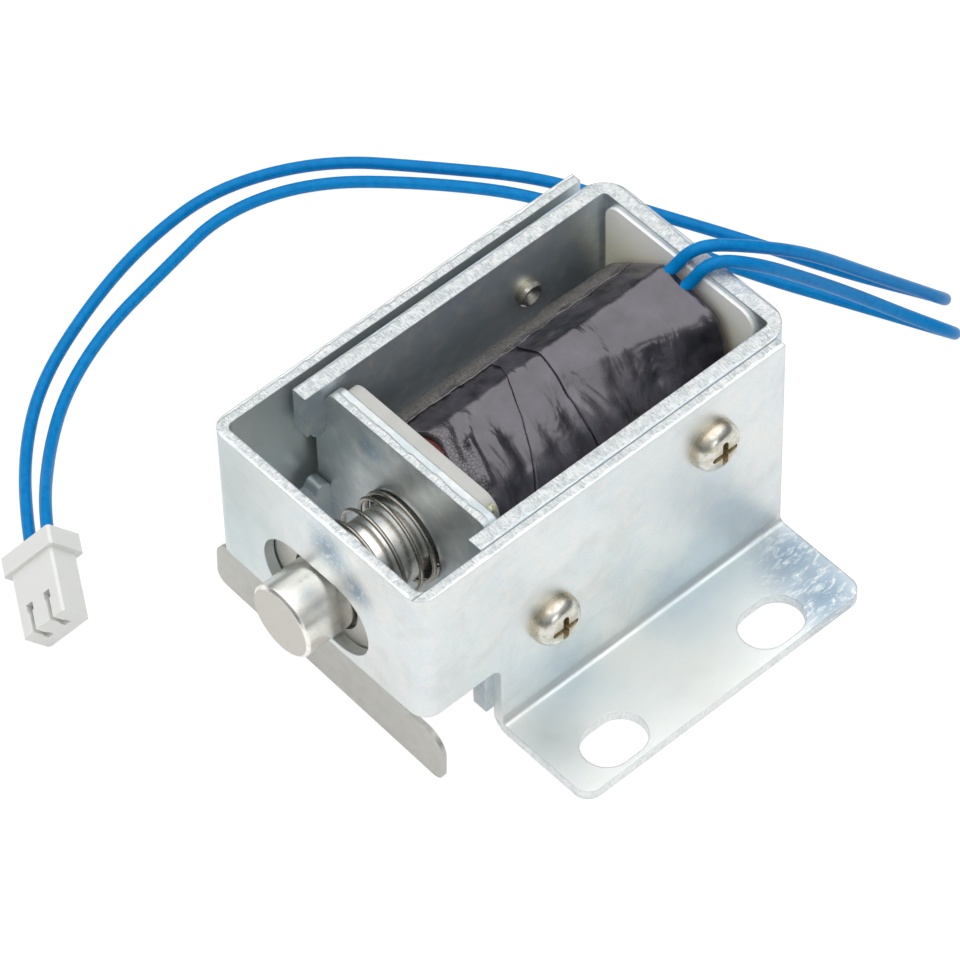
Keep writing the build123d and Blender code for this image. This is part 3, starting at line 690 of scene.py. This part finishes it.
def flap_strip(made):
    """The loose end of the tape along the coil's left side, its free edge just left of the ridge."""
    columns, rows = 34, 150
    outer, inner = [], []
    for r in range(rows):
        along = r / (rows - 1)
        y = 15.9 + 29.4 * along
        ragged = noise.noise(Vector((y * 0.45, 1.3, 0.2))) + 0.4 * noise.noise(Vector((y * 1.7, 4.1, 0.6)))
        start = math.radians(119 + 2.5 * ragged)
        sweep = math.radians(38 + 4 * ragged - 6 * along)
        angles = start + sweep * np.linspace(0, 1, columns)
        base = wrap_outline(y, angles)
        for c, angle in enumerate(angles):
            share = c / (columns - 1)
            lift = 0.22 + 0.16 * share * (0.8 + noise.noise(Vector((y * 0.3, 2.0, 5.0))))
            radius = base[c] + lift + wrinkle(angle, y) * 0.8
            for rim, thick in ((outer, 0.0), (inner, -0.14)):
                rim.append(on_coil(angle, y, radius + thick))
    points = outer + inner
    skip = len(outer)
    faces = grid_faces(rows, columns, False)
    faces += [tuple(skip + v for v in reversed(f)) for f in grid_faces(rows, columns, False)]
    rim = [r * columns for r in range(rows)] + [(rows - 1) * columns + c for c in range(1, columns)]
    rim += [r * columns + columns - 1 for r in range(rows - 2, -1, -1)] + list(range(columns - 2, 0, -1))
    for i, v in enumerate(rim):
        w = rim[(i + 1) % len(rim)]
        faces.append((v, w, skip + w, skip + v))
    piece = mesh_piece("tape_loose_end", points, faces, made, "base")
    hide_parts("tape_flap")
    return piece


film = tape_film()
wound_coil(copper_turns())
tape_wrap(film)
flap_strip(film)


# Spring

def spring(made):
    """The return spring: closed end turns and open turns between them."""
    radius, wire_radius, around, per_turn = 5.0, 0.225, 12, 56
    open_turns, closed, closed_pitch = 3.5, 1.25, 0.45
    start, length = 2.675, 8.4
    turns = open_turns + 2 * closed
    rise = (length - 2 * closed * closed_pitch) / open_turns
    steps = int(turns * per_turn)
    points = []
    for i in range(steps + 1):
        turn = turns * i / steps
        if turn < closed:
            back = turn * closed_pitch
        elif turn > turns - closed:
            back = length - (turns - turn) * closed_pitch
        else:
            back = closed * closed_pitch + (turn - closed) * rise
        angle = 2 * math.pi * turn
        out = Vector((math.cos(angle), 0, math.sin(angle)))
        middle = Vector((axis_x, start + back, axis_z)) + radius * out
        for k in range(around):
            bend = 2 * math.pi * k / around
            rim = math.cos(bend) * out + math.sin(bend) * Vector((0, 1, 0))
            points.append(middle + wire_radius * rim)
    faces = grid_faces(steps + 1, around, True)
    faces.append(tuple(range(around)))
    faces.append(tuple(reversed(range(steps * around, steps * around + around))))
    piece = mesh_piece("spring_coil", points, faces, made, "base")
    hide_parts("return_spring")
    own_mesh(piece)
    return piece


spring(turned_metal("spring_wire", (0.40, 0.37, 0.33), 0.24, streak=(0.3, 0.3, 0.3)))


# CAD nodes that stay

def dress(node, made):
    """Gives a node's own mesh its material."""
    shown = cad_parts[node]
    for index in range(max(1, len(shown.material_slots))):
        if not shown.material_slots:
            shown.data.materials.append(made)
        shown.material_slots[index].material = made


# Upright planes of the sheets' outer faces, and the way in from each
bracket_edges = [("x", 0.0, 1), ("x", bracket_width, -1), ("y", 0.0, 1)]
frame_edges = [("x", frame_left, 1), ("x", frame_right, -1), ("y", frame_back, -1)]
plate_edges = [("y", plate_back, -1)]

# Rubbed patches: centre and reach. Washes: centre, reach, share and tint
bracket_patches = [
    ((17.5, 0.0, 24.6), 4.2), ((21.0, 0.0, 22.0), 3.0),
    ((39.5, 43.5, bracket_sheet), 8.0), ((34.0, 44.5, bracket_sheet), 6.0),
]
bluish, greyish = (0.50, 0.64, 0.72), (0.52, 0.60, 0.60)
bracket_washes = [
    ((bracket_width, 34.0, 3.0), 10.0, 0.55, bluish),
    ((bracket_width, 18.0, 3.5), 8.0, 0.5, bluish),
    ((35.0, 12.0, bracket_sheet), 6.0, 0.35, bluish),
    ((2.0, 0.0, 20.0), 17.0, 0.75, greyish),
    ((0.0, 3.0, 14.0), 12.0, 0.4, greyish),
    ((32.0, 41.0, bracket_sheet), 6.0, 0.4, bluish),
]
dress("outer_bracket", zinc("bracket_zinc", rim_height, bracket_edges, 0.30, bracket_patches,
                            joint=frame_right, washes=bracket_washes))
dress("inner_frame", zinc("frame_zinc", rim_height, frame_edges, 0.25, [((3.9, 12.0, 20.0), 3.0)],
                          (0.57, 0.64, 0.69), joint=frame_right))
dress("pole_plate", zinc("plate_zinc", plate_rim, plate_edges, 0.85, [((10.0, plate_front, 24.0), 3.0)],
                         (0.56, 0.61, 0.62)))
dress("bobbin", bobbin_nylon())
dress("glue_drop", set_glue())
dress("guide_tube", turned_metal("tube_metal", (0.30, 0.27, 0.22), 0.4))
dress("fixed_core", turned_metal("core_metal", (0.50, 0.49, 0.47), 0.36))
dress("plunger", bolt_metal())
dress("retaining_clip", turned_metal("clip_metal", (0.30, 0.29, 0.27), 0.34))
dress("release_plate", turned_metal("plate_satin", (0.53, 0.525, 0.49), 0.42, 0.9, (0.08, 1.0, 1.0), 0.008,
                                    (0.48, 0.475, 0.435)))
dress("bracket_screws", screw_metal())
dress("lead_splices", plastic("splice_sleeve", (0.62, 0.58, 0.46), 0.4))
dress("plug_housing", plastic("plug_nylon", (0.68, 0.685, 0.665), 0.38, (0.64, 0.65, 0.62), 0.2, 0.2))
dress("plug_terminals", turned_metal("tin_plate", (0.66, 0.65, 0.62), 0.3))


# Camera, light and floor

lens = bpy.data.cameras.new("photo_camera")
lens.sensor_width = 36
lens.lens = 226.18
lens.clip_start = 0.02
lens.clip_end = 20
camera = bpy.data.objects.new("photo_camera", lens)
bpy.context.scene.collection.objects.link(camera)
right = Vector((0.67062026, 0.74156835, -0.01857007))
up = Vector((-0.56766323, 0.52914652, 0.63068409))
back = Vector((0.47752165, -0.41240798, 0.77581746))
pose = Matrix((right, up, back)).transposed().to_4x4()
pose.translation = at(291.841, -218.294, 465.441)
camera.matrix_world = pose
bpy.context.scene.camera = camera


def softbox(name, place_at, aim, size, power):
    """A square area lamp that looks at a point."""
    data = bpy.data.lights.new(name, "AREA")
    data.shape = "SQUARE"
    data.size = size
    data.energy = power
    lamp = bpy.data.objects.new(name, data)
    bpy.context.scene.collection.objects.link(lamp)
    lamp.location = place_at
    lamp.rotation_euler = (Vector(aim) - Vector(place_at)).to_track_quat("-Z", "Y").to_euler()
    return lamp


softbox("top_box", (-0.10, 0.12, 1.0), (0, 0, 0), 1.7, 9.7)
softbox("left_box", (-0.9, -0.5, 0.7), (0, 0, 0), 0.5, 1.3)
softbox("front_box", (0.35, -0.75, 0.9), (0, 0, 0), 0.6, 3.2).visible_glossy = False
softbox("right_box", (0.85, -0.15, 0.35), (0, 0, 0.01), 0.4, 0.8)


def studio_world():
    """White behind everything, and a soft grey room for light and reflections."""
    world = bpy.data.worlds.new("studio")
    world.use_nodes = True
    tree = world.node_tree
    tree.nodes.clear()
    out = tree.nodes.new("ShaderNodeOutputWorld")
    way = tree.nodes.new("ShaderNodeLightPath")
    source = tree.nodes.new("ShaderNodeTexCoord")
    split = tree.nodes.new("ShaderNodeSeparateXYZ")
    tree.links.new(source.outputs["Generated"], split.inputs[0])
    height = span(tree, split.outputs[2], 0.2, 0.85, 0.0, 1.0, "SMOOTHSTEP")
    room = blend_colours(tree, height, (0.16, 0.165, 0.17), (0.72, 0.72, 0.72))
    lit = tree.nodes.new("ShaderNodeBackground")
    plug_in(tree, lit.inputs[0], room)
    lit.inputs[1].default_value = 1.0
    plain = tree.nodes.new("ShaderNodeBackground")
    plain.inputs[0].default_value = (1, 1, 1, 1)
    choose = tree.nodes.new("ShaderNodeMixShader")
    tree.links.new(way.outputs["Is Camera Ray"], choose.inputs[0])
    tree.links.new(lit.outputs[0], choose.inputs[1])
    tree.links.new(plain.outputs[0], choose.inputs[2])
    tree.links.new(choose.outputs[0], out.inputs[0])
    bpy.context.scene.world = world


studio_world()


def floor():
    """A plain white floor that shows only a faint contact shadow."""
    reach, low = 3, -0.00002
    corners = [(-reach, -reach, low), (reach, -reach, low), (reach, reach, low), (-reach, reach, low)]
    data = bpy.data.meshes.new("floor")
    data.from_pydata(corners, [], [(0, 1, 2, 3)])
    piece = bpy.data.objects.new("floor", data)
    bpy.context.scene.collection.objects.link(piece)
    made, tree, shader = material("floor_white")
    shader.inputs["Base Color"].default_value = (0.92, 0.92, 0.92, 1)
    shader.inputs["Roughness"].default_value = 0.9
    glow = tree.nodes.new("ShaderNodeEmission")
    glow.inputs["Strength"].default_value = 1.08
    way = tree.nodes.new("ShaderNodeLightPath")
    choose = tree.nodes.new("ShaderNodeMixShader")
    share = sums(tree, "MULTIPLY", way.outputs["Is Camera Ray"], 0.88)
    share = sums(tree, "MAXIMUM", share, sums(tree, "MULTIPLY", way.outputs["Is Glossy Ray"], 0.5))
    plug_in(tree, choose.inputs[0], share)
    tree.links.new(shader.outputs[0], choose.inputs[1])
    tree.links.new(glow.outputs[0], choose.inputs[2])
    out = next(node for node in tree.nodes if node.type == "OUTPUT_MATERIAL")
    tree.links.new(choose.outputs[0], out.inputs[0])
    data.materials.append(made)


floor()
bpy.context.scene.view_settings.view_transform = "Standard"
